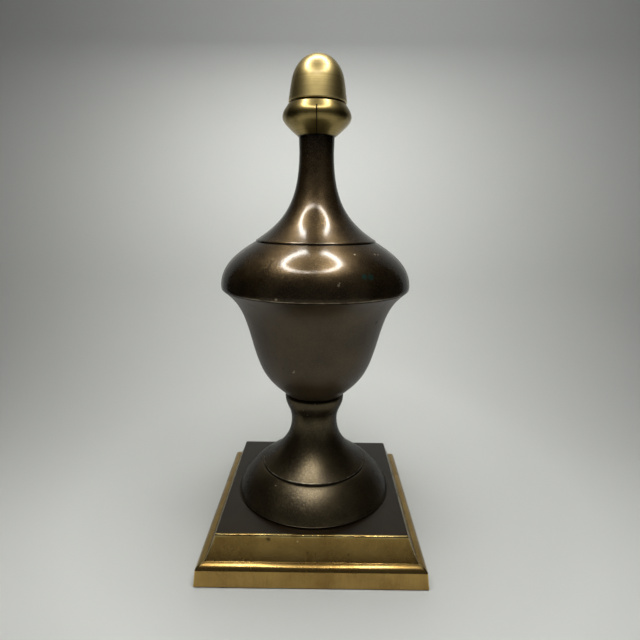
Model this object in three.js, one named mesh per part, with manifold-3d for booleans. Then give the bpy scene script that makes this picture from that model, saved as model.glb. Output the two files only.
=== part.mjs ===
// Table-top finial in brass: a covered urn on a square plinth, with an acorn at its tip.
// Millimetres, +Z up. The origin is the centre of the plinth's underside.
import {
    BufferGeometry, ExtrudeGeometry, Float32BufferAttribute, Group, LatheGeometry, Matrix4, Mesh,
    MeshStandardMaterial, Path, Shape, Vector2, Vector3,
} from 'three';
import { mergeVertices } from 'three/addons/utils/BufferGeometryUtils.js';
import Module from 'manifold-3d';

// A bend gives the directions in which one smooth stretch of an outline leaves and arrives, in degrees,
// 0 outwards and 90 upwards. Each pull is a share of the stretch, and a longer pull holds its angle longer.

// Plinth: a cast square. Half widths run from its middle to a flat side, each inset from the one below.
const plinthHalf = 57.6;        // at the table
const plinthEdge = 0.4;         // worn lower edge
const fasciaHeight = 8.6;       // up to the ledge
const fasciaInset = 0.95;
const ledgeWidth = 3.95;        // the ledge is one flattened round, up to the foot of the slope
const ledgeRise = 2.4;
const slopeHeight = 11;
const slopeInset = 4.6;
const slopeHollow = 0.35;       // how far the slope is hollowed in
const plateBevel = 0.4;         // polished edge round the painted plate
const cornerRadius = 0.8;       // of the four upright corners

// Foot: a dome, a step, a flaring stem and a collar, turned in one
const footMargin = 4.6;         // from the plate's edge in to the foot
const footLand = 0.5;           // small upright edge where it meets the plate
const footLip = 0.4;            // narrow flat ring between that edge and the dome
const domeHeight = 15;
const domeRun = 12.9;           // how far the dome draws in
const domeBend = { leave: 109, leavePull: 0.27, arrive: 151, arrivePull: 0.28 };
const footLedge = 1;            // flat ring inside the dome's top edge
const footRiser = 1.1;
const stemHeight = 24.6;        // from the step to the waist
const waistRadius = 12.9;
const stemBend = { leave: 148, leavePull: 0.26, arrive: 90, arrivePull: 0.42 };
const waistHeight = 6.5;        // from the waist to the crease below the collar
const creaseFlare = 1.2;        // how far the crease stands outside the waist
const waistBend = { leave: 90, leavePull: 0.4, arrive: 70, arrivePull: 0.34 };
const collarHeight = 7.6;       // from the crease to the widest line
const collarFlare = 2.3;        // how far the collar stands outside the crease
const collarBend = { leave: 66, leavePull: 0.37, arrive: 90, arrivePull: 0.34 };
const collarLand = 0.8;
const collarEdge = 1;           // rounding of the collar's top edge

// Bowl: a round bottom, a tall side and a flaring rim
const bowlSetBack = 0.6;        // its bottom stands this far inside the collar
const bowlShoulderRadius = 33.6;
const bowlShoulderHeight = 28;
const bowlBend = { leave: 40, leavePull: 0.466, arrive: 74, arrivePull: 0.442 };
const bowlRimRadius = 48.9;
const bowlFlareHeight = 31.1;
const flareBend = { leave: 75.5, leavePull: 0.478, arrive: 37.5, arrivePull: 0.337 };

// Cover: a round lid with a step, and a long neck that carries the acorn
const lipOverhang = 0.7;        // beyond the bowl's rim
const lipEdge = 0.4;
const lidSwell = 0.25;          // the lid's widest line stands this far outside the lip
const lidSwellHeight = 1.8;
const lidHeight = 22.5;         // from the widest line to the step
const lidTopRadius = 32.1;
const lidBend = { leave: 90, leavePull: 0.4, arrive: 148, arrivePull: 0.304 };
const coverLedge = 0.6;
const coverRiser = 0.9;
const neckHeight = 44.6;        // from the step to the thinnest place
const neckRadius = 8.8;
const neckBend = { leave: 148, leavePull: 0.345, arrive: 90, arrivePull: 0.505 };
const neckTopHeight = 6.3;
const neckTopFlare = 0.2;

// Acorn: the cup holds the nut on a low seat, which leaves a fine dark line between them
const cupFootOverhang = 0.3;    // beyond the neck's top
const cupLowerHeight = 8.8;
const cupRadius = 17.25;
const cupLowerBend = { leave: 40, leavePull: 0.29, arrive: 90, arrivePull: 0.22 };
const cupUpperHeight = 5.8;
const cupLipInset = 2.65;       // from the cup's widest line in to its lip
const cupUpperBend = { leave: 90, leavePull: 0.36, arrive: 120, arrivePull: 0.355 };
const seatSetBack = 1.1;
const seatHeight = 0.5;
const seamWidth = 0.6;          // one upright seam in the cup's front
const seamDepth = 0.8;
const seamBelowLip = 3;
const nutEdge = 0.4;
const nutSideHeight = 10.2;
const nutTaper = 1.6;           // how far the nut's side draws in
const nutSideBend = { leave: 99, leavePull: 0.35, arrive: 101, arrivePull: 0.35 };
const nutTopHeight = 11.7;
const nutTopBend = { leave: 101, leavePull: 0.3, arrive: 180, arrivePull: 0.45 };
const nutLean = 0.6;            // degrees, the nut sits a little askew
const nutShift = 0.3;

const jointGap = 0.3;           // clearance between one piece and the next
const turnSides = 48;           // facets round the large turned pieces
const acornSides = 36;

const brass = { color: 0xa98947, metalness: 1, roughness: 0.36 };
const acornBrass = { color: 0xb89a58, metalness: 1, roughness: 0.3 };
const bronzePaint = { color: 0x4a3b29, metalness: 0.7, roughness: 0.4 };

const radians = (degrees) => degrees * Math.PI / 180;

// Outline of a turned piece, from the axis at its bottom to the axis at its top, as radius and height
class Outline {
    constructor() {
        this.points = [new Vector2(0, 0)];
    }

    get end() {
        return this.points[this.points.length - 1];
    }

    // Straight to a radius, and up by a rise
    line(radius, rise) {
        this.points.push(new Vector2(radius, this.end.y + rise));
        return this;
    }

    // One smooth curve to a radius, and up by a rise
    curve(radius, rise, bend, steps) {
        const start = this.end;
        const finish = new Vector2(radius, start.y + rise);
        const reach = start.distanceTo(finish);
        const leave = new Vector2(reach * bend.leavePull, 0).rotateAround(new Vector2(), radians(bend.leave));
        const arrive = new Vector2(reach * bend.arrivePull, 0).rotateAround(new Vector2(), radians(bend.arrive));
        const path = new Path();
        path.moveTo(start.x, start.y);
        path.bezierCurveTo(
            start.x + leave.x, start.y + leave.y,
            finish.x - arrive.x, finish.y - arrive.y,
            finish.x, finish.y,
        );
        this.points.push(...path.getPoints(steps).slice(1, -1), finish);
        return this;
    }

    // Quarter round from upright to flat, turning in towards the axis
    roundIn(size, steps) {
        const { x, y } = this.end;
        for (let step = 1; step <= steps; step += 1) {
            const angle = radians(90 * step / steps);
            this.points.push(new Vector2(x - size + size * Math.cos(angle), y + size * Math.sin(angle)));
        }
        return this;
    }

    // Flat top, back to the axis
    close() {
        return this.line(0, 0);
    }
}

// Solid of revolution about Z
function turned(outline, sides) {
    return new LatheGeometry(outline.points, sides).rotateX(Math.PI / 2);
}

// Square casting from level sections, each a half width and a height, with rounded corners
function squareLoft(levels) {
    const cornerSteps = 2;
    const sectionPoints = 4 * (cornerSteps + 1);
    const positions = [];
    for (const { half, height } of levels) {
        for (let corner = 0; corner < 4; corner += 1) {
            const middle = radians(90 * corner + 45);
            const centreX = Math.sign(Math.cos(middle)) * (half - cornerRadius);
            const centreY = Math.sign(Math.sin(middle)) * (half - cornerRadius);
            for (let step = 0; step <= cornerSteps; step += 1) {
                const angle = radians(90 * (corner + step / cornerSteps));
                positions.push(
                    centreX + cornerRadius * Math.cos(angle),
                    centreY + cornerRadius * Math.sin(angle),
                    height,
                );
            }
        }
    }
    const faces = [];
    for (let level = 0; level < levels.length - 1; level += 1) {
        for (let i = 0; i < sectionPoints; i += 1) {
            const a = level * sectionPoints + i;
            const b = level * sectionPoints + (i + 1) % sectionPoints;
            faces.push(a, b, b + sectionPoints, a, b + sectionPoints, a + sectionPoints);
        }
    }
    const top = (levels.length - 1) * sectionPoints;
    for (let i = 1; i < sectionPoints - 1; i += 1) {
        faces.push(0, i + 1, i);
        faces.push(top, top + i, top + i + 1);
    }
    const geometry = new BufferGeometry();
    geometry.setAttribute('position', new Float32BufferAttribute(positions, 3));
    geometry.setIndex(faces);
    geometry.computeVertexNormals();
    return geometry;
}

const slopeFootHalf = plinthHalf - fasciaInset - ledgeWidth;
const slopeTopHalf = slopeFootHalf - slopeInset;
const plateHalf = slopeTopHalf - plateBevel;
const ledgeTop = fasciaHeight + ledgeRise;
const plinthHeight = ledgeTop + slopeHeight + plateBevel;

function plinthGeometry() {
    const ledgeSteps = 5;
    const slopeSteps = 4;
    const levels = [
        { half: plinthHalf - plinthEdge, height: 0 },
        { half: plinthHalf, height: plinthEdge },
    ];
    for (let step = 0; step <= ledgeSteps; step += 1) {
        const angle = radians(90 * step / ledgeSteps);
        levels.push({
            half: slopeFootHalf + ledgeWidth * Math.cos(angle),
            height: fasciaHeight + ledgeRise * Math.sin(angle),
        });
    }
    for (let step = 1; step <= slopeSteps; step += 1) {
        const rise = step / slopeSteps;
        levels.push({
            half: slopeFootHalf - slopeInset * rise - slopeHollow * Math.sin(Math.PI * rise),
            height: ledgeTop + slopeHeight * rise,
        });
    }
    levels.push({ half: plateHalf, height: plinthHeight });
    return squareLoft(levels);
}

const footRadius = plateHalf + plateBevel - footMargin;
const domeTopRadius = footRadius - footLip - domeRun;
const creaseRadius = waistRadius + creaseFlare;
const collarRadius = creaseRadius + collarFlare;

function footOutline() {
    return new Outline()
        .line(footRadius - footLand, 0)
        .line(footRadius, footLand)
        .line(footRadius - footLip, 0)
        .curve(domeTopRadius, domeHeight - footLand, domeBend, 6)
        .line(domeTopRadius - footLedge, 0)
        .line(domeTopRadius - footLedge, footRiser)
        .curve(waistRadius, stemHeight, stemBend, 9)
        .curve(creaseRadius, waistHeight, waistBend, 2)
        .curve(collarRadius, collarHeight, collarBend, 3)
        .line(collarRadius, collarLand)
        .roundIn(collarEdge, 2)
        .close();
}

function bowlOutline() {
    return new Outline()
        .line(collarRadius - bowlSetBack, 0)
        .curve(bowlShoulderRadius, bowlShoulderHeight, bowlBend, 7)
        .curve(bowlRimRadius, bowlFlareHeight, flareBend, 6)
        .close();
}

function coverOutline() {
    const lipRadius = bowlRimRadius + lipOverhang;
    return new Outline()
        .line(lipRadius - lipEdge, 0)
        .line(lipRadius, lipEdge)
        .line(lipRadius + lidSwell, lidSwellHeight - lipEdge)
        .curve(lidTopRadius, lidHeight, lidBend, 7)
        .line(lidTopRadius - coverLedge, 0)
        .line(lidTopRadius - coverLedge, coverRiser)
        .curve(neckRadius, neckHeight, neckBend, 10)
        .line(neckRadius + neckTopFlare, neckTopHeight)
        .close();
}

const cupLipRadius = cupRadius - cupLipInset;
const seatRadius = cupLipRadius - seatSetBack;

// Outside of the cup only, from its foot to its lip
function cupSide() {
    return new Outline()
        .line(neckRadius + neckTopFlare + cupFootOverhang, 0)
        .curve(cupRadius, cupLowerHeight, cupLowerBend, 5)
        .curve(cupLipRadius, cupUpperHeight, cupUpperBend, 4);
}

function cupOutline() {
    return cupSide()
        .line(seatRadius, 0)
        .line(seatRadius, seatHeight)
        .close();
}

function nutOutline() {
    return new Outline()
        .line(cupLipRadius - nutEdge, 0)
        .line(cupLipRadius, nutEdge)
        .curve(cupLipRadius - nutTaper, nutSideHeight, nutSideBend, 3)
        .curve(0, nutTopHeight, nutTopBend, 7);
}

// The seam is a thin slot that follows the cup's side, from its foot to just below its lip
function seamSlot() {
    const slotTop = cupLowerHeight + cupUpperHeight - seamBelowLip;
    const side = cupSide().points.slice(1).filter(({ y }) => y < slotTop);
    const shape = new Shape();
    shape.moveTo(side[0].x - seamDepth, -seamDepth);
    shape.lineTo(side[0].x + seamDepth, -seamDepth);
    shape.lineTo(cupRadius + seamDepth, slotTop / 2);
    shape.lineTo(cupRadius + seamDepth, slotTop);
    for (const { x, y } of side.reverse()) {
        shape.lineTo(x - seamDepth, y);
    }
    const geometry = new ExtrudeGeometry(shape, { depth: seamWidth, bevelEnabled: false, steps: 1 });
    geometry.translate(0, 0, -seamWidth / 2);
    return geometry.applyMatrix4(new Matrix4().makeBasis(
        new Vector3(0, -1, 0),
        new Vector3(0, 0, 1),
        new Vector3(-1, 0, 0),
    ));
}

const wasm = await Module();
wasm.setup();

// Solid from a closed geometry, with shared vertices merged and the flat triangles on the axis dropped
function toSolid(geometry) {
    const bare = geometry.clone();
    bare.deleteAttribute('normal');
    bare.deleteAttribute('uv');
    const merged = mergeVertices(bare, 1e-4);
    const index = merged.index.array;
    const triangles = [];
    for (let i = 0; i < index.length; i += 3) {
        const [a, b, c] = index.slice(i, i + 3);
        if (a !== b && b !== c && c !== a) {
            triangles.push(a, b, c);
        }
    }
    return new wasm.Manifold(new wasm.Mesh({
        numProp: 3,
        vertProperties: new Float32Array(merged.attributes.position.array),
        triVerts: new Uint32Array(triangles),
    }));
}

function toGeometry(solid) {
    const { vertProperties, triVerts } = solid.getMesh();
    const geometry = new BufferGeometry();
    geometry.setAttribute('position', new Float32BufferAttribute(vertProperties, 3));
    geometry.setIndex(Array.from(triVerts));
    geometry.computeVertexNormals();
    return geometry;
}

const finial = new Group();

// Each piece stands at the height of its own underside
function addPiece(name, geometry, look, height) {
    const mesh = new Mesh(geometry, new MeshStandardMaterial(look));
    mesh.name = name;
    mesh.position.z = height;
    finial.add(mesh);
    return mesh;
}

const foot = footOutline();
const bowl = bowlOutline();
const cover = coverOutline();
const cup = cupOutline();
const cutCup = toSolid(turned(cup, acornSides)).subtract(toSolid(seamSlot()));

const footBase = plinthHeight + jointGap;
const bowlBase = footBase + foot.end.y + jointGap;
const coverBase = bowlBase + bowl.end.y + jointGap;
const cupBase = coverBase + cover.end.y + jointGap;
const nutBase = cupBase + cup.end.y + jointGap + seatRadius * Math.tan(radians(nutLean));

addPiece('plinth', plinthGeometry(), brass, 0);
addPiece('foot', turned(foot, turnSides), bronzePaint, footBase);
addPiece('bowl', turned(bowl, turnSides), bronzePaint, bowlBase);
addPiece('cover', turned(cover, turnSides), bronzePaint, coverBase);
addPiece('acorn_cup', toGeometry(cutCup), acornBrass, cupBase);
const nut = addPiece('acorn_nut', turned(nutOutline(), acornSides), acornBrass, nutBase);
nut.position.x = nutShift;
nut.rotation.y = radians(nutLean);

export default finial;
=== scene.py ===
import math

import bmesh
import bpy
from mathutils import Matrix, Vector, noise


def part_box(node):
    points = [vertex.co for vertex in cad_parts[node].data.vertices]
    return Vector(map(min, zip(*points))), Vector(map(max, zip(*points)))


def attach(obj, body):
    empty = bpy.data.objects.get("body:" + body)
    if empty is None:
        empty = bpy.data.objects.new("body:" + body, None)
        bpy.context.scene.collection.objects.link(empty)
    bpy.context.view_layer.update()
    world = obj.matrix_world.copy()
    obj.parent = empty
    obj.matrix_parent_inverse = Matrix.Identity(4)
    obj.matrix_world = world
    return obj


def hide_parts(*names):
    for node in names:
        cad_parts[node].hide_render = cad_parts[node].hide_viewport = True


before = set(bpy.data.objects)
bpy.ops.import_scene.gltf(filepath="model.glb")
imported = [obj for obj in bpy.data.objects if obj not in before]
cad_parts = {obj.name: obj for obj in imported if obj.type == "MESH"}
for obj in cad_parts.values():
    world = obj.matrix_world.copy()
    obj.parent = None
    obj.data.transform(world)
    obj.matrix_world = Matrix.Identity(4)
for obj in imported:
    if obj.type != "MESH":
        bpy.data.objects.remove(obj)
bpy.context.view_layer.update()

mm = 0.001


# Colours are picked as sRGB hex and the shaders want linear
def linear(hexText):
    parts = [int(hexText[i:i + 2], 16) / 255 for i in (1, 3, 5)]
    return tuple(p / 12.92 if p <= 0.04045 else ((p + 0.055) / 1.055) ** 2.4 for p in parts) + (1,)


# Texture scale for a pattern whose features are about this many millimetres
def perSize(millimetres):
    return 1 / (millimetres * mm)


# Outlines run from the axis below to the axis above, as radius and height in mm from the piece's underside.
# soft rounds the corner at the end of a step, wear rubs the finish off there, and the darkening value puts
# dirt and painted shade in the crease there.
def line(radius, height, soft=0.0, wear=0.0, dirtShade=0.0):
    return {"to": (radius, height), "soft": soft, "wear": wear, "dirtShade": dirtShade}


def curve(radius, height, leave, leavePull, arrive, arrivePull, soft=0.0, wear=0.0, dirtShade=0.0):
    step = line(radius, height, soft, wear, dirtShade)
    step["bend"] = (math.radians(leave), leavePull, math.radians(arrive), arrivePull)
    return step


def towards(start, finish, distance):
    gap = finish - start
    return start + gap * min(1, distance / gap.length) if gap.length else start.copy()


def curvePoints(start, finish, bend, spacing):
    leave, leavePull, arrive, arrivePull = bend
    reach = (finish - start).length
    a = start + Vector((math.cos(leave), math.sin(leave))) * reach * leavePull
    b = finish - Vector((math.cos(arrive), math.sin(arrive))) * reach * arrivePull
    count = max(12, math.ceil(reach * 1.2 / spacing))
    shares = [i / count for i in range(1, count + 1)]
    return [
        start * (1 - t) ** 3 + a * 3 * t * (1 - t) ** 2 + b * 3 * t * t * (1 - t) + finish * t ** 3
        for t in shares
    ]


# Points of an outline at most spacing apart, each with its radius, height, wear, darkening for dirt and
# painted shade, and length along
def outlinePoints(steps, spacing=1.0):
    points, cornerAt = [Vector((0, 0))], {}
    for step in steps:
        start, finish = points[-1], Vector(step["to"])
        if "bend" in step:
            points += curvePoints(start, finish, step["bend"], spacing)
        else:
            count = max(1, math.ceil((finish - start).length / spacing))
            points += [start.lerp(finish, i / count) for i in range(1, count + 1)]
        if step["soft"] or step["wear"] or step["dirtShade"]:
            cornerAt[len(points) - 1] = step

    # Each soft corner is cut back on both sides and bridged with a small round
    rounded, skipTo, marks = [], 0, []
    for i, point in enumerate(points):
        if i < skipTo:
            continue
        step = cornerAt.get(i)
        if step:
            marks.append((point.copy(), step))
        if not step or not step["soft"]:
            rounded.append(point)
            continue
        while len(rounded) > 1 and (rounded[-1] - point).length < step["soft"]:
            rounded.pop()
        before = towards(point, rounded[-1], step["soft"])
        skipTo = i + 1
        while skipTo < len(points) - 1 and (points[skipTo] - point).length < step["soft"]:
            skipTo += 1
        beyond = towards(point, points[skipTo], step["soft"])
        for k in range(9):
            t = k / 8
            rounded.append(before * (1 - t) ** 2 + point * 2 * t * (1 - t) + beyond * t * t)

    clean = [rounded[0]]
    for point in rounded[1:]:
        if (point - clean[-1]).length > 0.004:
            clean.append(point)
    made, along = [], 0.0
    for i, point in enumerate(clean):
        along += (point - clean[i - 1]).length if i else 0
        wear = dirtShade = 0.0
        for place, step in marks:
            near = math.exp(-((point - place).length / 0.5) ** 2)
            wear, dirtShade = max(wear, near * step["wear"]), max(dirtShade, near * step["dirtShade"])
        made.append((point.x, point.y, wear, dirtShade, along))
    return made


# Joins level rings of points into one closed smooth mesh and keeps wear, darkening for dirt and painted
# shade, and length as attributes
def loft(name, outline, ringAt, base):
    mesh = bpy.data.meshes.new(name)
    bm = bmesh.new()
    layers = [bm.verts.layers.float.new(key) for key in ("wear", "dirtShade", "along")]
    rings = []
    for radius, height, wear, dirtShade, along in outline:
        places = [Vector((0, 0, height))] if radius < 0.01 else ringAt(radius, height)
        ring = [bm.verts.new(place * mm) for place in places]
        for vert in ring:
            for layer, value in zip(layers, (wear, dirtShade, along * mm)):
                vert[layer] = value
        rings.append(ring)
    for low, high in zip(rings, rings[1:]):
        count = max(len(low), len(high))
        for i in range(count):
            j = (i + 1) % count
            corners = [low[i % len(low)], low[j % len(low)], high[j % len(high)], high[i % len(high)]]
            corners = [v for k, v in enumerate(corners) if v not in corners[:k]]
            bm.faces.new(corners).smooth = True
    bm.normal_update()
    bm.to_mesh(mesh)
    bm.free()
    mesh.set_sharp_from_angle(angle=math.radians(38))
    piece = bpy.data.objects.new(name, mesh)
    bpy.context.scene.collection.objects.link(piece)
    lowest = min(v.co.z for v in mesh.vertices)
    mesh.transform(Matrix.Translation((0, 0, base - lowest)))
    return piece


# Ring maker of a turned piece. Angles run from the front, and carve may take some depth off at an angle.
def turnedRing(angles, carve=None):
    def ringAt(radius, height):
        ring = []
        for angle in angles:
            r = radius - (carve(angle, radius, height) if carve else 0)
            ring.append(Vector((r * math.sin(angle), -r * math.cos(angle), height)))
        return ring
    return ringAt


def evenAngles(count):
    return [math.tau * i / count for i in range(count)]


def addPiece(piece, node, material):
    piece.data.materials.append(material)
    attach(piece, "root")
    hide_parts(node)
    return piece


# Adds one shader node. Settings are its options first and then socket values, links feed its sockets.
def addNode(material, kind, settings=None, links=None):
    node = material.node_tree.nodes.new("ShaderNode" + kind)
    settings = settings or {}
    options = [key for key in settings if isinstance(key, str) and hasattr(node, key)]
    for key in options:
        setattr(node, key, settings[key])
    for key, value in settings.items():
        if key not in options:
            socketNamed(node, key).default_value = value
    for key, source in (links or {}).items():
        material.node_tree.links.new(resultOf(source), socketNamed(node, key))
    return node


def socketNamed(node, key):
    if isinstance(key, int):
        return node.inputs[key]
    return next(s for s in node.inputs if s.name == key and s.enabled)


def resultOf(source):
    return next(s for s in source.outputs if s.enabled) if hasattr(source, "outputs") else source


def newMaterial(name):
    material = bpy.data.materials.new(name)
    material.use_nodes = True
    material.node_tree.nodes.clear()
    return material


def finishMaterial(material, shader):
    addNode(material, "OutputMaterial", links={"Surface": shader})
    return material


# Settings that lay one colour over whatever comes in at A
def over(hexText):
    return {"data_type": "RGBA", "B": linear(hexText)}


# Mask of small round marks, each a place in mm and a size in mm. Noise eats into them, so that they come out
# ragged and about half as wide as their size.
def markMask(material, coords, marks):
    raggedSize, raggedShare, edgeOut, edgeIn = 0.5, 1.1, 1.25, 0.75
    ragged = addNode(material, "TexNoise", {"Scale": perSize(raggedSize), "Detail": 2.0}, {"Vector": coords})
    mask = None
    for x, y, z, size in marks:
        place = {"operation": "DISTANCE", 1: Vector((x, y, z)) * mm}
        away = addNode(material, "VectorMath", place, {0: coords})
        raggedBy = {"operation": "MULTIPLY_ADD", 1: size * raggedShare * mm}
        wavy = addNode(material, "Math", raggedBy, {0: ragged, 2: away})
        edge = {"From Min": size * edgeOut * mm, "From Max": size * edgeIn * mm}
        spot = addNode(material, "MapRange", {"interpolation_type": "SMOOTHSTEP", **edge}, {"Value": wavy})
        if mask is None:
            mask = spot
        else:
            mask = addNode(material, "Math", {"operation": "MAXIMUM"}, {0: mask, 1: spot})
    return mask


# bronzeLacquer: clear lacquer over brown bronze flake, sprayed. The flake gives a broad warm glow round each
# light, in coarse grains, and the clear film over it a sharper pale reflection with a light orange peel.
def bronzeLacquer(name, look):
    m = newMaterial(name)
    coords = addNode(m, "TexCoord").outputs["Object"]
    wearAttribute = addNode(m, "Attribute", {"attribute_name": "wear"}).outputs["Fac"]
    dirtShadeAttribute = addNode(m, "Attribute", {"attribute_name": "dirtShade"}).outputs["Fac"]

    patchNoise = {"Scale": perSize(look["patchSize"]), "Detail": 4.0, "Roughness": 0.6}
    patches = addNode(m, "TexNoise", patchNoise, {"Vector": coords})
    patchy = addNode(m, "MapRange", {"From Min": 0.35, "From Max": 0.68}, {"Value": patches})
    flakes = addNode(m, "TexVoronoi", {"Scale": perSize(look["flakeSize"])}, {"Vector": coords})
    flakeTint = addNode(m, "SeparateColor", links={"Color": flakes.outputs["Color"]})
    twoBrowns = {"data_type": "RGBA", "A": linear(look["deep"]), "B": linear(look["flake"])}
    brown = addNode(m, "Mix", twoBrowns, {"Factor": patchy})
    sparkleRange = {"From Min": 0.55, "From Max": 1.0, "To Max": look["sparkle"]}
    sparkle = addNode(m, "MapRange", sparkleRange, {"Value": flakeTint})
    speckled = addNode(m, "Mix", over(look["bright"]), {"Factor": sparkle, "A": brown})
    # Dirt and painted shade darken the creases, joints and undersides marked in the outline
    dirtShaded = addNode(m, "Mix", over(look["dirtAndShade"]), {"Factor": dirtShadeAttribute, "A": speckled})

    # Rubbed edges show paler metal in broken lengths
    broken = addNode(m, "TexNoise", {"Scale": perSize(look["rubLength"]), "Detail": 3.0}, {"Vector": coords})
    rubbed = addNode(m, "Math", {"operation": "MULTIPLY"}, {0: wearAttribute, 1: broken})
    bareRange = {"From Min": 0.30, "From Max": 0.56, "To Max": look["rub"]}
    bare = addNode(m, "MapRange", bareRange, {"Value": rubbed})
    chips = markMask(m, coords, look["chips"])
    bareAll = addNode(m, "Math", {"operation": "MAXIMUM"}, {0: bare, 1: chips})
    colour = addNode(m, "Mix", over(look["bare"]), {"Factor": bareAll, "A": dirtShaded})
    for hexText, amount, marks in look["stains"]:
        mask = addNode(m, "Math", {"operation": "MULTIPLY", 1: amount}, {0: markMask(m, coords, marks)})
        colour = addNode(m, "Mix", over(hexText), {"Factor": mask, "A": colour})

    smudge = addNode(m, "TexNoise", {"Scale": perSize(look["smudgeSize"]), "Detail": 5.0}, {"Vector": coords})
    least, most = look["roughness"]
    roughRange = {"From Min": 0.3, "From Max": 0.7, "To Min": least, "To Max": most}
    rough = addNode(m, "MapRange", roughRange, {"Value": smudge})

    # Each flake lies at its own small tilt
    tiltBy = {"operation": "MULTIPLY_ADD", 1: (look["tilt"],) * 3, 2: (-look["tilt"] / 2,) * 3}
    tilt = addNode(m, "VectorMath", tiltBy, {0: flakes.outputs["Color"]})
    alongAttribute = addNode(m, "Attribute", {"attribute_name": "along"}).outputs["Fac"]
    ringScale = perSize(look["ringSize"])
    ringNoise = {"noise_dimensions": "1D", "Scale": ringScale, "Detail": 3.0, "Roughness": 0.7}
    rings = addNode(m, "TexNoise", ringNoise, {"W": alongAttribute})
    turning = addNode(m, "Bump", {"Strength": 1.0, "Distance": look["ringHeight"] * mm}, {"Height": rings})
    leaning = addNode(m, "VectorMath", {"operation": "ADD"}, {0: turning, 1: tilt})
    flakeNormal = addNode(m, "VectorMath", {"operation": "NORMALIZE"}, {0: leaning})
    chipped = {"Strength": 0.6, "Distance": look["chipDepth"] * mm, "invert": True}
    pitted = addNode(m, "Bump", chipped, {"Height": bareAll, "Normal": flakeNormal})
    peel = addNode(m, "TexNoise", {"Scale": perSize(look["peelSize"]), "Detail": 2.0}, {"Vector": coords})
    film = addNode(m, "Bump", {"Strength": 1.0, "Distance": look["peelHeight"] * mm}, {"Height": peel})
    filmPits = addNode(m, "Bump", chipped, {"Height": bareAll, "Normal": film})

    shader = addNode(m, "BsdfPrincipled", {
        "Metallic": look["metal"], "Specular Tint": linear(look["edge"]), "Coat Weight": look["coat"],
        "Coat Roughness": look["coatRoughness"], "Coat IOR": look["coatIor"],
    }, {"Base Color": colour, "Roughness": rough, "Normal": pitted, "Coat Normal": filmPits})
    return finishMaterial(m, shader)


# Cover: lid, neck and their step. The glossiest lacquer of the three.
cover = {
    "outline": [
        # The darkening under the step and where the cup sits is painted shade with dirt
        line(49.2, 0, soft=0.25), line(49.6, 0.4, soft=0.25, wear=0.9), line(49.85, 1.8, soft=0.5),
        curve(32.1, 24.3, 90, 0.4, 148, 0.304, soft=0.25, dirtShade=0.6),
        line(31.5, 24.3, soft=0.1, dirtShade=1.0), line(31.5, 25.2, soft=0.6, wear=0.3),
        curve(8.8, 69.8, 148, 0.345, 90, 0.505), line(9.0, 76.1, soft=0.15, dirtShade=0.8), line(0, 76.1),
    ],
    "segments": 208,
    "deep": "#2f2517", "flake": "#4d3f2a", "bright": "#715e42", "dirtAndShade": "#0b0905", "bare": "#a3957b",
    "edge": "#6c675c", "patchSize": 16, "flakeSize": 0.34, "sparkle": 0.4, "tilt": 0.1,
    "rubLength": 5, "rub": 0.7, "chipDepth": 0.05, "ringSize": 0.6, "ringHeight": 0.003, "smudgeSize": 22,
    "metal": 0.85, "roughness": (0.32, 0.38),
    "coat": 0.6, "coatRoughness": 0.165, "coatIor": 1.45, "peelSize": 1.5, "peelHeight": 0.012,
    "chips": [
        (10.7, -47.5, 147.2, 1.2), (11.1, -47.1, 148.2, 0.8), (18.3, -33.2, 159.5, 0.9),
        (28.5, -25.9, 159.1, 1.3), (30.2, -24.4, 159.0, 1.0), (-16.6, -46.9, 140.4, 1.2),
    ],
    "stains": [("#1b5a55", 0.55, [(22.5, -41.5, 150.3, 2.8), (25.4, -39.9, 150.0, 3.2)])],
}

# Bowl: greyer and duller, rubbed by dusting
bowl = {
    "outline": [
        # The darkening at the bowl's narrow foot is painted shade with dirt
        line(15.8, 0, soft=0.2, dirtShade=1.0), curve(33.6, 28, 40, 0.466, 74, 0.442),
        curve(48.9, 59.1, 75.5, 0.478, 37.5, 0.337, soft=0.3), line(0, 59.1),
    ],
    "segments": 208,
    "deep": "#3f3220", "flake": "#51422b", "bright": "#6a5b41", "dirtAndShade": "#0b0905", "bare": "#b0a184",
    "edge": "#938f84", "patchSize": 20, "flakeSize": 0.34, "sparkle": 0.3, "tilt": 0.1,
    "rubLength": 5, "rub": 0.7, "chipDepth": 0.05, "ringSize": 0.6, "ringHeight": 0.002, "smudgeSize": 26,
    "metal": 0.7, "roughness": (0.42, 0.52),
    "coat": 0.6, "coatRoughness": 0.36, "coatIor": 1.5, "peelSize": 1.4, "peelHeight": 0.012,
    "chips": [(-10.1, -29.9, 100.9, 1.1), (-9.6, -30.1, 101.9, 0.8)],
    "stains": [("#1a150e", 0.75, [
        (-24.3, -22.3, 105.6, 0.9), (-18.6, -27.9, 107.4, 0.9), (30.8, -23.7, 125.4, 2.2),
        (-15.2, -28.2, 102.3, 1.4),
    ])],
}

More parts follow.
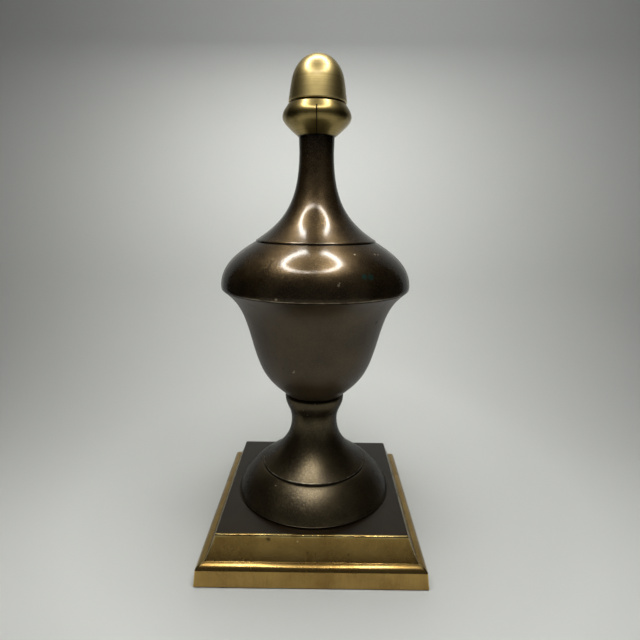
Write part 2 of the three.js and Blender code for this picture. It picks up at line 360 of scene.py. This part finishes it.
# Foot: dome, step, stem and collar in one. The roughest lacquer, with the coarsest flake.
foot = {
    "outline": [
        # The darkening at the base, under the step and under the collar is painted shade with dirt
        line(43.0, 0, soft=0.2), line(43.5, 0.5, soft=0.2, wear=0.55), line(43.1, 0.5, soft=0.15, dirtShade=0.3),
        curve(30.2, 15, 109, 0.27, 151, 0.28, soft=0.3), line(29.2, 15, soft=0.12, dirtShade=1.0),
        line(29.2, 16.1, soft=0.3, wear=0.85), curve(12.9, 40.7, 148, 0.26, 90, 0.42),
        curve(14.1, 47.2, 90, 0.4, 70, 0.34, soft=0.3, dirtShade=0.5), curve(16.4, 54.8, 66, 0.37, 90, 0.34),
        line(16.4, 55.6, soft=0.3), line(15.4, 56.6, soft=0.5), line(0, 56.6),
    ],
    "segments": 208,
    "deep": "#3a3120", "flake": "#51462f", "bright": "#766951", "dirtAndShade": "#090704", "bare": "#cdc3ac",
    "edge": "#45423a", "patchSize": 14, "flakeSize": 0.45, "sparkle": 0.3, "tilt": 0.08,
    "rubLength": 4, "rub": 0.75, "chipDepth": 0.05, "ringSize": 0.6, "ringHeight": 0.003, "smudgeSize": 18,
    "metal": 0.9, "roughness": (0.33, 0.37),
    "coat": 0.4, "coatRoughness": 0.34, "coatIor": 1.45, "peelSize": 0.9, "peelHeight": 0.02,
    "chips": [
        (-19.8, -26.1, 35.4, 1.0), (-19.9, -26.8, 34.3, 0.7), (-15.1, -35.1, 30.0, 1.0),
        (-15.5, -36.3, 28.5, 0.9), (-14.4, -34.3, 31.2, 0.8), (0.5, -16.3, 78.3, 0.6),
        (-5.7, -14.7, 73.9, 0.5), (-3.5, -14.1, 71.0, 0.5),
    ],
    "stains": [("#14100a", 0.75, [(-5.0, -13.8, 69.5, 0.8), (3.0, -14.0, 70.5, 0.6)])],
}

turnedPieces = {}
for name, look in (("cover", cover), ("bowl", bowl), ("foot", foot)):
    ringMaker = turnedRing(evenAngles(look["segments"]))
    piece = loft(name + "_turned", outlinePoints(look["outline"]), ringMaker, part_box(name)[0].z)
    turnedPieces[name] = addPiece(piece, name, bronzeLacquer("bronzeLacquer_" + name, look))
    print(name, "turned,", len(piece.data.polygons), "faces")


# satinBrass: yellow brass turned and brushed, tarnished a little under an old clear film. Fine rings pull
# each highlight into a soft band, the film adds a paler and sharper one, and dirt with painted shade darkens
# the seam and the creases.
def satinBrass(name, look):
    m = newMaterial(name)
    coords = addNode(m, "TexCoord").outputs["Object"]
    alongAttribute = addNode(m, "Attribute", {"attribute_name": "along"}).outputs["Fac"]
    wearAttribute = addNode(m, "Attribute", {"attribute_name": "wear"}).outputs["Fac"]
    dirtShadeAttribute = addNode(m, "Attribute", {"attribute_name": "dirtShade"}).outputs["Fac"]

    ringScale = perSize(look["ringSize"])
    ringNoise = {"noise_dimensions": "1D", "Scale": ringScale, "Detail": 4.0, "Roughness": 0.7}
    rings = addNode(m, "TexNoise", ringNoise, {"W": alongAttribute})
    tarnishNoise = {"Scale": perSize(look["tarnishSize"]), "Detail": 5.0, "Roughness": 0.62}
    tarnish = addNode(m, "TexNoise", tarnishNoise, {"Vector": coords})
    dullRange = {"From Min": 0.4, "From Max": 0.72, "To Max": look["tarnish"]}
    dull = addNode(m, "MapRange", dullRange, {"Value": tarnish})
    toneRange = {"From Min": 0.35, "From Max": 0.65, "To Max": look["ringTone"]}
    ringTone = addNode(m, "MapRange", toneRange, {"Value": rings})
    twoBrasses = {"data_type": "RGBA", "A": linear(look["brass"]), "B": linear(look["dull"])}
    yellow = addNode(m, "Mix", twoBrasses, {"Factor": dull})
    ringed = addNode(m, "Mix", over(look["dull"]), {"Factor": ringTone, "A": yellow})
    polished = addNode(m, "Mix", over(look["polished"]), {"Factor": wearAttribute, "A": ringed})
    # Dirt and painted shade darken the creases marked in the outline
    dirtShaded = addNode(m, "Mix", over(look["dirtAndShade"]), {"Factor": dirtShadeAttribute, "A": polished})

    # Dirt and painted shade darken the upright seam at the front
    place = addNode(m, "SeparateXYZ", links={"Vector": coords})
    sideways = addNode(m, "Math", {"operation": "ABSOLUTE"}, {0: place.outputs["X"]})
    half, edgeOut, edgeIn = look["seamDirtShade"] / 2, 1.3, 0.7
    acrossRange = {"From Min": half * edgeOut * mm, "From Max": half * edgeIn * mm}
    across = addNode(m, "MapRange", acrossRange, {"Value": sideways})
    inFront = addNode(m, "Math", {"operation": "LESS_THAN", 1: 0.0}, {0: place.outputs["Y"]})
    below = addNode(m, "Math", {"operation": "LESS_THAN", 1: look["seamEnd"] * mm}, {0: place.outputs["Z"]})
    inSeam = addNode(m, "Math", {"operation": "MULTIPLY"}, {0: inFront, 1: below})
    seam = addNode(m, "Math", {"operation": "MULTIPLY"}, {0: across, 1: inSeam})
    marks = addNode(m, "Math", {"operation": "MAXIMUM"}, {0: seam, 1: markMask(m, coords, look["dots"])})
    colour = addNode(m, "Mix", over(look["dirtAndShade"]), {"Factor": marks, "A": dirtShaded})

    least, most = look["roughness"]
    roughRange = {"From Min": 0.3, "From Max": 0.7, "To Min": least, "To Max": most}
    rough = addNode(m, "MapRange", roughRange, {"Value": tarnish})
    turning = addNode(m, "Bump", {"Strength": 1.0, "Distance": look["ringHeight"] * mm}, {"Height": rings})
    grain = addNode(m, "TexNoise", {"Scale": perSize(look["grainSize"]), "Detail": 3.0}, {"Vector": coords})
    grainBump = {"Strength": 1.0, "Distance": look["grainHeight"] * mm}
    grainy = addNode(m, "Bump", grainBump, {"Height": grain, "Normal": turning})
    brassLinks = {"Base Color": colour, "Roughness": rough, "Normal": grainy}
    film = {"Coat Weight": look["coat"], "Coat Roughness": look["coatRoughness"]}
    return finishMaterial(m, addNode(m, "BsdfPrincipled", {"Metallic": 1.0, **film}, brassLinks))


# Acorn cup, with the upright seam in its front
cup = {
    "outline": [
        # The darkening at the cup's foot and in the groove under the nut is painted shade with dirt
        line(9.3, 0, soft=0.12, dirtShade=0.7), curve(17.25, 8.8, 40, 0.29, 90, 0.22),
        curve(14.6, 14.6, 90, 0.36, 120, 0.355, soft=0.3, wear=0.5),
        line(13.5, 14.6, soft=0.1, dirtShade=0.1), line(13.5, 15.1), line(0, 15.1),
    ],
    "segments": 168, "spacing": 0.45,
    "seamWidth": 0.46, "seamDepth": 0.8, "seamFrom": 9.2, "seamTop": 11.6, "seamDirtShade": 0.36, "seamEnd": 227.0,
    "dots": [(0.0, -16.6, 227.1, 0.4)],
    "brass": "#ab965c", "dull": "#756336", "polished": "#e2cb8c", "dirtAndShade": "#2a1f0d",
    "ringSize": 0.8, "ringTone": 0.35, "ringHeight": 0.004, "tarnishSize": 7, "tarnish": 0.75,
    "roughness": (0.3, 0.36), "coat": 0.25, "coatRoughness": 0.2, "grainSize": 0.5, "grainHeight": 0.003,
}

# Acorn nut, a little askew on its seat
nut = {
    "outline": [
        line(14.2, 0, soft=0.1), line(14.6, 0.4, soft=0.25, wear=0.8), curve(13.0, 10.6, 99, 0.35, 101, 0.35),
        curve(0, 22.3, 101, 0.3, 180, 0.45),
    ],
    "segments": 168, "spacing": 0.45, "lean": 0.6, "shift": 0.3,
    "seamDirtShade": 0.3, "seamEnd": 0.0, "dots": [(3.1, -9.1, 250.2, 0.25)],
    "brass": "#c0ab71", "dull": "#8b784a", "polished": "#e6d192", "dirtAndShade": "#2a1f0d",
    "ringSize": 0.9, "ringTone": 0.45, "ringHeight": 0.006, "tarnishSize": 8, "tarnish": 0.6,
    "roughness": (0.37, 0.43), "coat": 0.5, "coatRoughness": 0.2, "grainSize": 0.5, "grainHeight": 0.003,
}


# How deep the seam cuts in, with a flat bottom and rounded lips. The underside of the cup stays whole.
def seamCarve(angle, radius, height):
    if height > cup["seamTop"] or radius < cup["seamFrom"]:
        return 0
    away = abs(math.remainder(angle, math.tau)) * radius
    half = cup["seamWidth"] / 2
    return cup["seamDepth"] * max(0, 1 - (away / half) ** 6) if away < half else 0


# Quarter degree steps across the seam, even ones elsewhere
seamAngles = [math.radians(a / 4) for a in range(-10, 11)]
openAngle = seamAngles[-1] + math.radians(0.1)
cupAngles = seamAngles + [a for a in evenAngles(cup["segments"]) if openAngle < a < math.tau - openAngle]
cupOutline = outlinePoints(cup["outline"], cup["spacing"])
cupPiece = loft("acorn_cup_turned", cupOutline, turnedRing(cupAngles, seamCarve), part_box("acorn_cup")[0].z)
addPiece(cupPiece, "acorn_cup", satinBrass("satinBrass_cup", cup))
nutOutline = outlinePoints(nut["outline"], nut["spacing"])
nutPiece = loft("acorn_nut_turned", nutOutline, turnedRing(evenAngles(nut["segments"])), 0)
leaning = Matrix.Rotation(math.radians(nut["lean"]), 4, "Y")
nutPiece.data.transform(Matrix.Translation((nut["shift"] * mm, 0, 0)) @ leaning)
lowest = min(v.co.z for v in nutPiece.data.vertices)
nutPiece.data.transform(Matrix.Translation((0, 0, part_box("acorn_nut")[0].z - lowest)))
addPiece(nutPiece, "acorn_nut", satinBrass("satinBrass_nut", nut))
print("acorn turned,", len(cupPiece.data.polygons) + len(nutPiece.data.polygons), "faces")


# castBrass: sand-cast brass filed and polished by hand, with tarnish in soft patches and faint file strokes
# up the sides, under an old clear film that turns grazing views paler. Its plate carries brown paint up to a
# hand-wiped line just inside the edge.
def castBrass(name, look):
    m = newMaterial(name)
    coords = addNode(m, "TexCoord").outputs["Object"]
    wearAttribute = addNode(m, "Attribute", {"attribute_name": "wear"}).outputs["Fac"]
    dirtShadeAttribute = addNode(m, "Attribute", {"attribute_name": "dirtShade"}).outputs["Fac"]
    place = addNode(m, "SeparateXYZ", links={"Vector": coords})

    tarnishNoise = {"Scale": perSize(look["tarnishSize"]), "Detail": 6.0, "Roughness": 0.62}
    tarnish = addNode(m, "TexNoise", tarnishNoise, {"Vector": coords})
    dullRange = {"From Min": 0.36, "From Max": 0.68, "To Max": look["tarnish"]}
    dull = addNode(m, "MapRange", dullRange, {"Value": tarnish})
    wide, tall = perSize(look["strokeWidth"]), perSize(look["strokeLength"])
    upright = addNode(m, "Mapping", {"Scale": (wide, wide, tall)}, {"Vector": coords})
    strokes = addNode(m, "TexNoise", {"Scale": 1.0, "Detail": 4.0, "Roughness": 0.65}, {"Vector": upright})
    strokeRange = {"From Min": 0.4, "From Max": 0.7, "To Max": look["strokeTone"]}
    strokeTone = addNode(m, "MapRange", strokeRange, {"Value": strokes})
    twoBrasses = {"data_type": "RGBA", "A": linear(look["brass"]), "B": linear(look["dull"])}
    yellow = addNode(m, "Mix", twoBrasses, {"Factor": dull})
    stroked = addNode(m, "Mix", over(look["dark"]), {"Factor": strokeTone, "A": yellow})
    spotMask = markMask(m, coords, look["spots"])
    spotted = addNode(m, "Mix", over(look["dark"]), {"Factor": spotMask, "A": stroked})
    broken = addNode(m, "TexNoise", {"Scale": perSize(look["rubLength"]), "Detail": 3.0}, {"Vector": coords})
    lengths = addNode(m, "MapRange", {"From Min": 0.42, "From Max": 0.58, "To Min": 0.15}, {"Value": broken})
    rubbed = addNode(m, "Math", {"operation": "MULTIPLY"}, {0: wearAttribute, 1: lengths})

    # The four corner ridges, where both sides are equally far out, are rubbed pale too
    sides = [addNode(m, "Math", {"operation": "ABSOLUTE"}, {0: place.outputs[axis]}) for axis in ("X", "Y")]
    apart = addNode(m, "Math", {"operation": "SUBTRACT"}, {0: sides[0], 1: sides[1]})
    fromRidge = addNode(m, "Math", {"operation": "ABSOLUTE"}, {0: apart})
    outer, inner = look["ridge"]
    ridgeRange = {"From Min": outer * mm, "From Max": inner * mm, "To Max": look["ridgeRub"]}
    ridge = addNode(m, "MapRange", ridgeRange, {"Value": fromRidge})
    worn = addNode(m, "Math", {"operation": "MAXIMUM"}, {0: rubbed, 1: ridge})
    polished = addNode(m, "Mix", over(look["polished"]), {"Factor": worn, "A": spotted})
    # Dirt and painted shade darken the creases marked in the outline, and painted shadow darkens the bottom
    # edge on the floor
    dirtShaded = addNode(m, "Mix", over(look["dirtAndShade"]), {"Factor": dirtShadeAttribute, "A": polished})
    scratchMask = markMask(m, coords, look["scratches"])
    metal = addNode(m, "Mix", over(look["scratch"]), {"Factor": scratchMask, "A": dirtShaded})

    # Paint covers the plate, in front up to a line that wanders with the brush
    outward = addNode(m, "Math", {"operation": "MULTIPLY", 1: -1.0}, {0: place.outputs["Y"]})
    wanderNoise = {"Scale": perSize(look["wanderSize"]), "Detail": 4.0, "Roughness": 0.55}
    wander = addNode(m, "TexNoise", wanderNoise, {"Vector": coords})
    wavy = addNode(m, "Math", {"operation": "MULTIPLY_ADD", 1: look["wander"] * mm}, {0: wander, 2: outward})
    paintEdge = look["paintHalf"] + look["wander"] / 2
    feather = look["paintFeather"]
    edgeRange = {"From Min": (paintEdge + feather) * mm, "From Max": (paintEdge - feather) * mm}
    inside = addNode(m, "MapRange", edgeRange, {"Value": wavy})
    fromHeight = {"operation": "GREATER_THAN", 1: look["paintFrom"] * mm}
    above = addNode(m, "Math", fromHeight, {0: place.outputs["Z"]})
    painted = addNode(m, "Math", {"operation": "MULTIPLY"}, {0: inside, 1: above})
    dust = addNode(m, "TexNoise", {"Scale": perSize(look["dustSize"]), "Detail": 5.0}, {"Vector": coords})
    twoPaints = {"data_type": "RGBA", "A": linear(look["paint"]), "B": linear(look["paintWorn"])}
    paint = addNode(m, "Mix", twoPaints, {"Factor": dust})
    colour = addNode(m, "Mix", {"data_type": "RGBA"}, {"Factor": painted, "A": metal, "B": paint})

    least, most = look["roughness"]
    roughRange = {"From Min": 0.3, "From Max": 0.7, "To Min": least, "To Max": most}
    brassRough = addNode(m, "MapRange", roughRange, {"Value": tarnish})
    keenRough = addNode(m, "Mix", {"B": look["keen"]}, {"Factor": worn, "A": brassRough})
    rough = addNode(m, "Mix", {"B": look["paintRoughness"]}, {"Factor": painted, "A": keenRough})
    metallic = addNode(m, "MapRange", {"To Min": 1.0, "To Max": look["paintMetal"]}, {"Value": painted})

    filed = addNode(m, "Bump", {"Strength": 1.0, "Distance": look["strokeHeight"] * mm}, {"Height": strokes})
    pitNoise = addNode(m, "TexVoronoi", {"Scale": perSize(look["pitSpacing"])}, {"Vector": coords})
    outer, inner = look["pitReach"]
    pits = addNode(m, "MapRange", {"From Min": outer, "From Max": inner}, {"Value": pitNoise})
    pitBump = {"Strength": 0.7, "Distance": look["pitDepth"] * mm, "invert": True}
    cast = addNode(m, "Bump", pitBump, {"Height": pits, "Normal": filed})
    skin = addNode(m, "TexNoise", {"Scale": perSize(look["skinSize"]), "Detail": 3.0}, {"Vector": coords})
    paintRise = {"operation": "MULTIPLY_ADD", 1: look["paintThickness"]}
    skinHeight = addNode(m, "Math", paintRise, {0: painted, 2: skin})
    skinBump = {"Strength": 1.0, "Distance": look["skinHeight"] * mm}
    normal = addNode(m, "Bump", skinBump, {"Height": skinHeight, "Normal": cast})
    brassLinks = {"Base Color": colour, "Roughness": rough, "Metallic": metallic, "Normal": normal}
    shader = addNode(m, "BsdfPrincipled", {
        "Specular Tint": linear(look["edge"]), "Coat Weight": look["coat"],
        "Coat Roughness": look["coatRoughness"],
    }, brassLinks)
    return finishMaterial(m, shader)


# Plinth: the radius of each step is the half width of a square
plinth = {
    "outline": [
        # The darkened bottom edge is painted shadow where the plinth stands on the floor, with dirt, and the
        # ledge's inner corner has a little painted shade
        line(57.2, 0, soft=0.15, dirtShade=0.6), line(57.6, 0.4, soft=0.3), line(56.68, 8.6, soft=0.2),
        curve(52.7, 11.0, 124, 0.35, 170, 0.5, soft=0.15, dirtShade=0.15),
        curve(48.1, 22.0, 119, 0.3, 106, 0.3, soft=0.3, wear=1.0), line(47.7, 22.4, soft=0.2, wear=0.8),
        line(0, 22.4),
    ],
    "cornerRadius": 0.8, "spacing": 1.6, "sideSteps": 44, "cornerSteps": 6,
    "wobble": 0.12, "wobbleFrom": 40, "wobbleSize": 17, "sag": 0.07, "sagFrom": 47, "sagAbove": 5,
    "brass": "#b2914f", "dull": "#8a6a32", "dark": "#54401e", "polished": "#e4cb84", "dirtAndShade": "#33250e",
    "scratch": "#f0dba0", "tarnishSize": 15, "tarnish": 0.8, "strokeWidth": 1.1, "strokeLength": 14,
    "strokeTone": 0.16, "strokeHeight": 0.003, "rubLength": 11, "ridge": (0.7, 0.2), "ridgeRub": 0.8,
    "roughness": (0.22, 0.3), "keen": 0.18, "coat": 0.35, "coatRoughness": 0.25, "edge": "#ced8dd",
    "pitSpacing": 2.6, "pitReach": (0.16, 0.05), "pitDepth": 0.03, "skinSize": 0.8, "skinHeight": 0.006,
    "paint": "#281b09", "paintWorn": "#34250e", "paintRoughness": 0.4, "paintMetal": 0.75, "dustSize": 9,
    "paintThickness": 0.25, "paintFrom": 21.9, "paintHalf": 46.9, "paintFeather": 0.08,
    "wander": 0.7, "wanderSize": 9,
    "spots": [
        (-2.0, -50.9, 15.0, 1.1), (18.1, -51.2, 14.2, 1.1), (31.2, -54.2, 11.0, 1.1),
        (-21.5, -48.4, 20.5, 2.0), (-50.5, -55.6, 5.8, 0.8), (21.5, -55.7, 5.3, 1.6),
    ],
    "scratches": [
        (-7.1, -48.8, 19.6, 0.7), (-55.0, -56.5, 2.7, 1.0), (-53.7, -56.5, 2.5, 0.9),
        (-52.2, -56.5, 2.3, 0.8),
    ],
}


# One level of the plinth. Its filed sides wander inwards a little, and its upper edges sag.
def squareRing(half, height):
    corner = min(plinth["cornerRadius"], half * 0.3)
    sideSteps, cornerSteps = plinth["sideSteps"], plinth["cornerSteps"]
    elsewhere = Vector((7, 3, 5))
    ring = []
    for side in range(4):
        turn = Matrix.Rotation(side * math.pi / 2, 3, "Z")
        flat = half - corner
        for i in range(sideSteps):
            place = Vector((-flat + 2 * flat * i / sideSteps, -half, 0))
            ring.append((turn @ place, turn @ Vector((0, -1, 0))))
        for i in range(cornerSteps):
            angle = math.pi / 2 * i / cornerSteps
            outward = Vector((math.sin(angle), -math.cos(angle), 0))
            ring.append((turn @ (Vector((flat, -flat, 0)) + outward * corner), turn @ outward))
    made = []
    for place, outward in ring:
        spot = Vector((place.x, place.y, height)) / plinth["wobbleSize"]
        inwards = down = 0
        if half > plinth["wobbleFrom"]:
            inwards = plinth["wobble"] * (0.5 + 0.5 * noise.noise(spot))
        if half > plinth["sagFrom"] and height > plinth["sagAbove"]:
            down = plinth["sag"] * (0.5 + 0.5 * noise.noise(spot + elsewhere))
        made.append(Vector((place.x, place.y, height)) - outward * inwards - Vector((0, 0, down)))
    return made


plinthPiece = loft("plinth_cast", outlinePoints(plinth["outline"], plinth["spacing"]), squareRing, 0)
addPiece(plinthPiece, "plinth", castBrass("castBrass_plinth", plinth))
print("plinth cast,", len(plinthPiece.data.polygons), "faces")


# Studio: pale paper that runs back along the floor and up close behind, ring lamps above, a white card in
# front and black flags at both sides of a dim room. Paper all round, which the camera alone sees, closes the
# other views.
studio = {
    "paper": "#e6e8e5", "paperShade": "#dee0dc", "cloudSize": 90,
    "floorEdge": 249.5, "farFloorDrop": 0.2, "coveStart": 290, "wall": 360, "top": 560,
    "dropStart": 60, "dropBend": 120, "dropReach": 400, "dropLift": 0.02, "surroundEnd": 120,
    "flags": (62, 121), "flagRadius": 361, "flagBlack": "#0a0a0a",
    "cardTop": 70, "cardSpread": 61, "cardRadius": 361, "room": "#464748",
    "fillPlace": (40, -120, 430), "fillAim": (20, 20, 0), "fillSize": 260, "fillPower": 0.54,
}
bodyLamp = {
    "centre": (-12, -43, 320), "inner": (69, 58), "outer": (81, 69),
    "strength": 60, "colour": "#fffefb",
}
acornLamp = {
    "centre": (-4, -42, 305), "inner": (40, 40), "outer": (51, 51),
    "strength": 17, "colour": "#fffefb",
}
footLamp = {
    "centre": (-20, -142, 320), "inner": (2, 2), "outer": (78, 60),
    "strength": 12, "colour": "#fffefb",
}

# Kinds of ray that see a stage piece
everything = ("camera", "diffuse", "glossy", "shadow")
cameraOnly, notCamera, lampRays = ("camera",), ("diffuse", "glossy"), ("diffuse", "glossy", "shadow")


def stageMesh(name, points, faces, material, seenBy):
    mesh = bpy.data.meshes.new(name)
    mesh.from_pydata([Vector(p) * mm for p in points], [], faces)
    mesh.shade_smooth()
    mesh.materials.append(material)
    part = bpy.data.objects.new(name, mesh)
    bpy.context.scene.collection.objects.link(part)
    for ray in everything:
        setattr(part, "visible_" + ray, ray in seenBy)
    return part


# Sweeps a profile of radius and height between two angles, a column every three degrees or so
def sweptPart(name, profile, start, finish, material, seenBy):
    columns = max(8, round(abs(finish - start) / 3))
    points, faces = [], []
    for i in range(columns + 1):
        angle = math.radians(start + (finish - start) * i / columns)
        points += [(r * math.sin(angle), -r * math.cos(angle), z) for r, z in profile]
    rows = len(profile)
    for i in range(columns):
        for k in range(rows - 1):
            a, b = i * rows + k, (i + 1) * rows + k
            faces.append((a, b, b + 1, a + 1))
    return stageMesh(name, points, faces, material, seenBy)


# Seen from its back the paper is clear, so that the view from behind isn't shut off
def paperMaterial(name, clearBack):
    m = newMaterial(name)
    coords = addNode(m, "TexCoord").outputs["Object"]
    cloud = addNode(m, "TexNoise", {"Scale": perSize(studio["cloudSize"]), "Detail": 2.0}, {"Vector": coords})
    tone = addNode(m, "MapRange", {"To Max": 0.35}, {"Value": cloud})
    twoWhites = {"data_type": "RGBA", "A": linear(studio["paper"]), "B": linear(studio["paperShade"])}
    colour = addNode(m, "Mix", twoWhites, {"Factor": tone})
    sheet = addNode(m, "BsdfPrincipled", {"Roughness": 0.9}, {"Base Color": colour})
    if clearBack:
        behind = addNode(m, "NewGeometry").outputs["Backfacing"]
        sheet = addNode(m, "MixShader", links={0: behind, 1: sheet, 2: addNode(m, "BsdfTransparent")})
    return finishMaterial(m, sheet)


def blackFlag():
    m = newMaterial("blackFlag")
    velvet = addNode(m, "BsdfPrincipled", {"Base Color": linear(studio["flagBlack"]), "Roughness": 0.9})
    return finishMaterial(m, velvet)


# Quarter bend from level to upright, as distance and height
def coveProfile(start, size, top):
    angles = [math.radians(a) for a in range(0, 91, 2)]
    profile = [(start + size * math.sin(a), size - size * math.cos(a)) for a in angles]
    return profile + [(start + size, z) for z in range(round(size) + 40, top + 1, 40)]


paper, black = paperMaterial("matPaper", False), blackFlag()
floorProfile = [(r, 0) for r in (0.001, 75, 150, studio["floorEdge"])]
surround = coveProfile(studio["coveStart"], studio["wall"] - studio["coveStart"], studio["top"])
floor = sweptPart("studio_floor", floorProfile, -180, 180, paper, everything)
end = studio["surroundEnd"]
surroundPaper = sweptPart("studio_surround", [floorProfile[-1]] + surround, -end, end, paper, cameraOnly)
farFloor = [(studio[key], -studio["farFloorDrop"]) for key in ("floorEdge", "flagRadius")]
sweptPart("studio_far_floor", farFloor, -180, 180, paper, notCamera)
flagProfile = [(studio["flagRadius"], z) for z in (0, studio["top"])]
for side, (start, finish) in (("right", studio["flags"]), ("left", [-a for a in reversed(studio["flags"])])):
    sweptPart("studio_flag_" + side, flagProfile, start, finish, black, notCamera)

drop = coveProfile(studio["dropStart"], studio["dropBend"], studio["top"])
reach = studio["dropReach"]
dropPoints = [(x, y, z + studio["dropLift"]) for x in (-reach, reach) for y, z in drop]
dropFaces = [(k, len(drop) + k, len(drop) + k + 1, k + 1) for k in range(len(drop) - 1)]  # facing the front
backdropPaper = paperMaterial("matPaperBackdrop", True)
backdrop = stageMesh("studio_backdrop", dropPoints, dropFaces, backdropPaper, everything)

cardProfile = [(studio["cardRadius"], z) for z in (0, studio["cardTop"])]
sweptPart("studio_card", cardProfile, -studio["cardSpread"], studio["cardSpread"], paper, notCamera)


# INCLUDE lets the lamp light these pieces alone, EXCLUDE all others but these
def linkLamp(lamp, pieces, state):
    lit = bpy.data.collections.new(lamp.name + "_pieces")
    for piece in pieces:
        lit.objects.link(piece)
    lamp.light_linking.receiver_collection = lit
    for entry in lit.collection_objects:
        entry.light_linking.link_state = state


# Flat ring that shines downwards, dark from above
def ringLamp(name, look):
    m = newMaterial(name)
    facing = addNode(m, "NewGeometry").outputs["Backfacing"]
    glow = addNode(m, "Emission", {"Color": linear(look["colour"]), "Strength": look["strength"]})
    dark = addNode(m, "Emission", {"Strength": 0.0})
    finishMaterial(m, addNode(m, "MixShader", links={0: facing, 1: glow, 2: dark}))
    count = 96
    rim = [
        Vector(look["centre"]) + Vector((across * math.cos(a), along * math.sin(a), 0))
        for across, along in (look["inner"], look["outer"]) for a in evenAngles(count)
    ]
    faces = [(i, (i + 1) % count, count + (i + 1) % count, count + i) for i in range(count)]  # facing down
    return stageMesh(name, rim, faces, m, lampRays)


# The polished acorn has a smaller and much weaker ring of its own, so that it doesn't burn out
acorn = [cupPiece, nutPiece]
linkLamp(ringLamp("ring_lamp", bodyLamp), acorn, "EXCLUDE")
linkLamp(ringLamp("ring_lamp_acorn", acornLamp), acorn, "INCLUDE")

# A round lamp for the foot alone fills the middle of its highlights
linkLamp(ringLamp("round_lamp_foot", footLamp), [turnedPieces["foot"]], "INCLUDE")

# A soft light for the paper alone keeps it even, without another highlight on the finial
fillLight = bpy.data.lights.new("paper_fill", "AREA")
fillLight.shape, fillLight.size, fillLight.energy = "DISK", studio["fillSize"] * mm, studio["fillPower"]
fill = bpy.data.objects.new("paper_fill", fillLight)
fillTurn = (Vector(studio["fillAim"]) - Vector(studio["fillPlace"])).to_track_quat("-Z", "Y")
fill.matrix_world = Matrix.Translation(Vector(studio["fillPlace"]) * mm) @ fillTurn.to_matrix().to_4x4()
bpy.context.scene.collection.objects.link(fill)
fill.visible_glossy = fill.visible_camera = False
linkLamp(fill, [backdrop, floor, surroundPaper], "INCLUDE")

world = bpy.data.worlds.new("room")
world.use_nodes = True
bpy.context.scene.world = world
world.node_tree.nodes["Background"].inputs["Color"].default_value = linear(studio["room"])
bpy.context.scene.view_settings.view_transform = "Standard"
print("studio set")


# Camera at the photograph's viewing angle, fitted to the plinth's corners and the turned rings
shot = {"place": (3.30, -242.45, 175.93), "pitch": 12.777, "roll": -0.669, "yaw": -0.147, "lens": 25.43}
pitch, roll, yaw = (math.radians(shot[key]) for key in ("pitch", "roll", "yaw"))
forward = Vector((math.sin(yaw) * math.cos(pitch), math.cos(yaw) * math.cos(pitch), -math.sin(pitch)))
level = Vector((math.cos(yaw), -math.sin(yaw), 0))
down = forward.cross(level)
imageRight = level * math.cos(roll) + down * math.sin(roll)
imageDown = down * math.cos(roll) - level * math.sin(roll)
cameraData = bpy.data.cameras.new("camera")
cameraData.lens, cameraData.sensor_width = shot["lens"], 36
cameraData.clip_start = 0.01
camera = bpy.data.objects.new("camera", cameraData)
turn = Matrix((imageRight, -imageDown, -forward)).transposed().to_4x4()
camera.matrix_world = Matrix.Translation(Vector(shot["place"]) * mm) @ turn
bpy.context.scene.collection.objects.link(camera)
bpy.context.scene.camera = camera
print("camera placed")
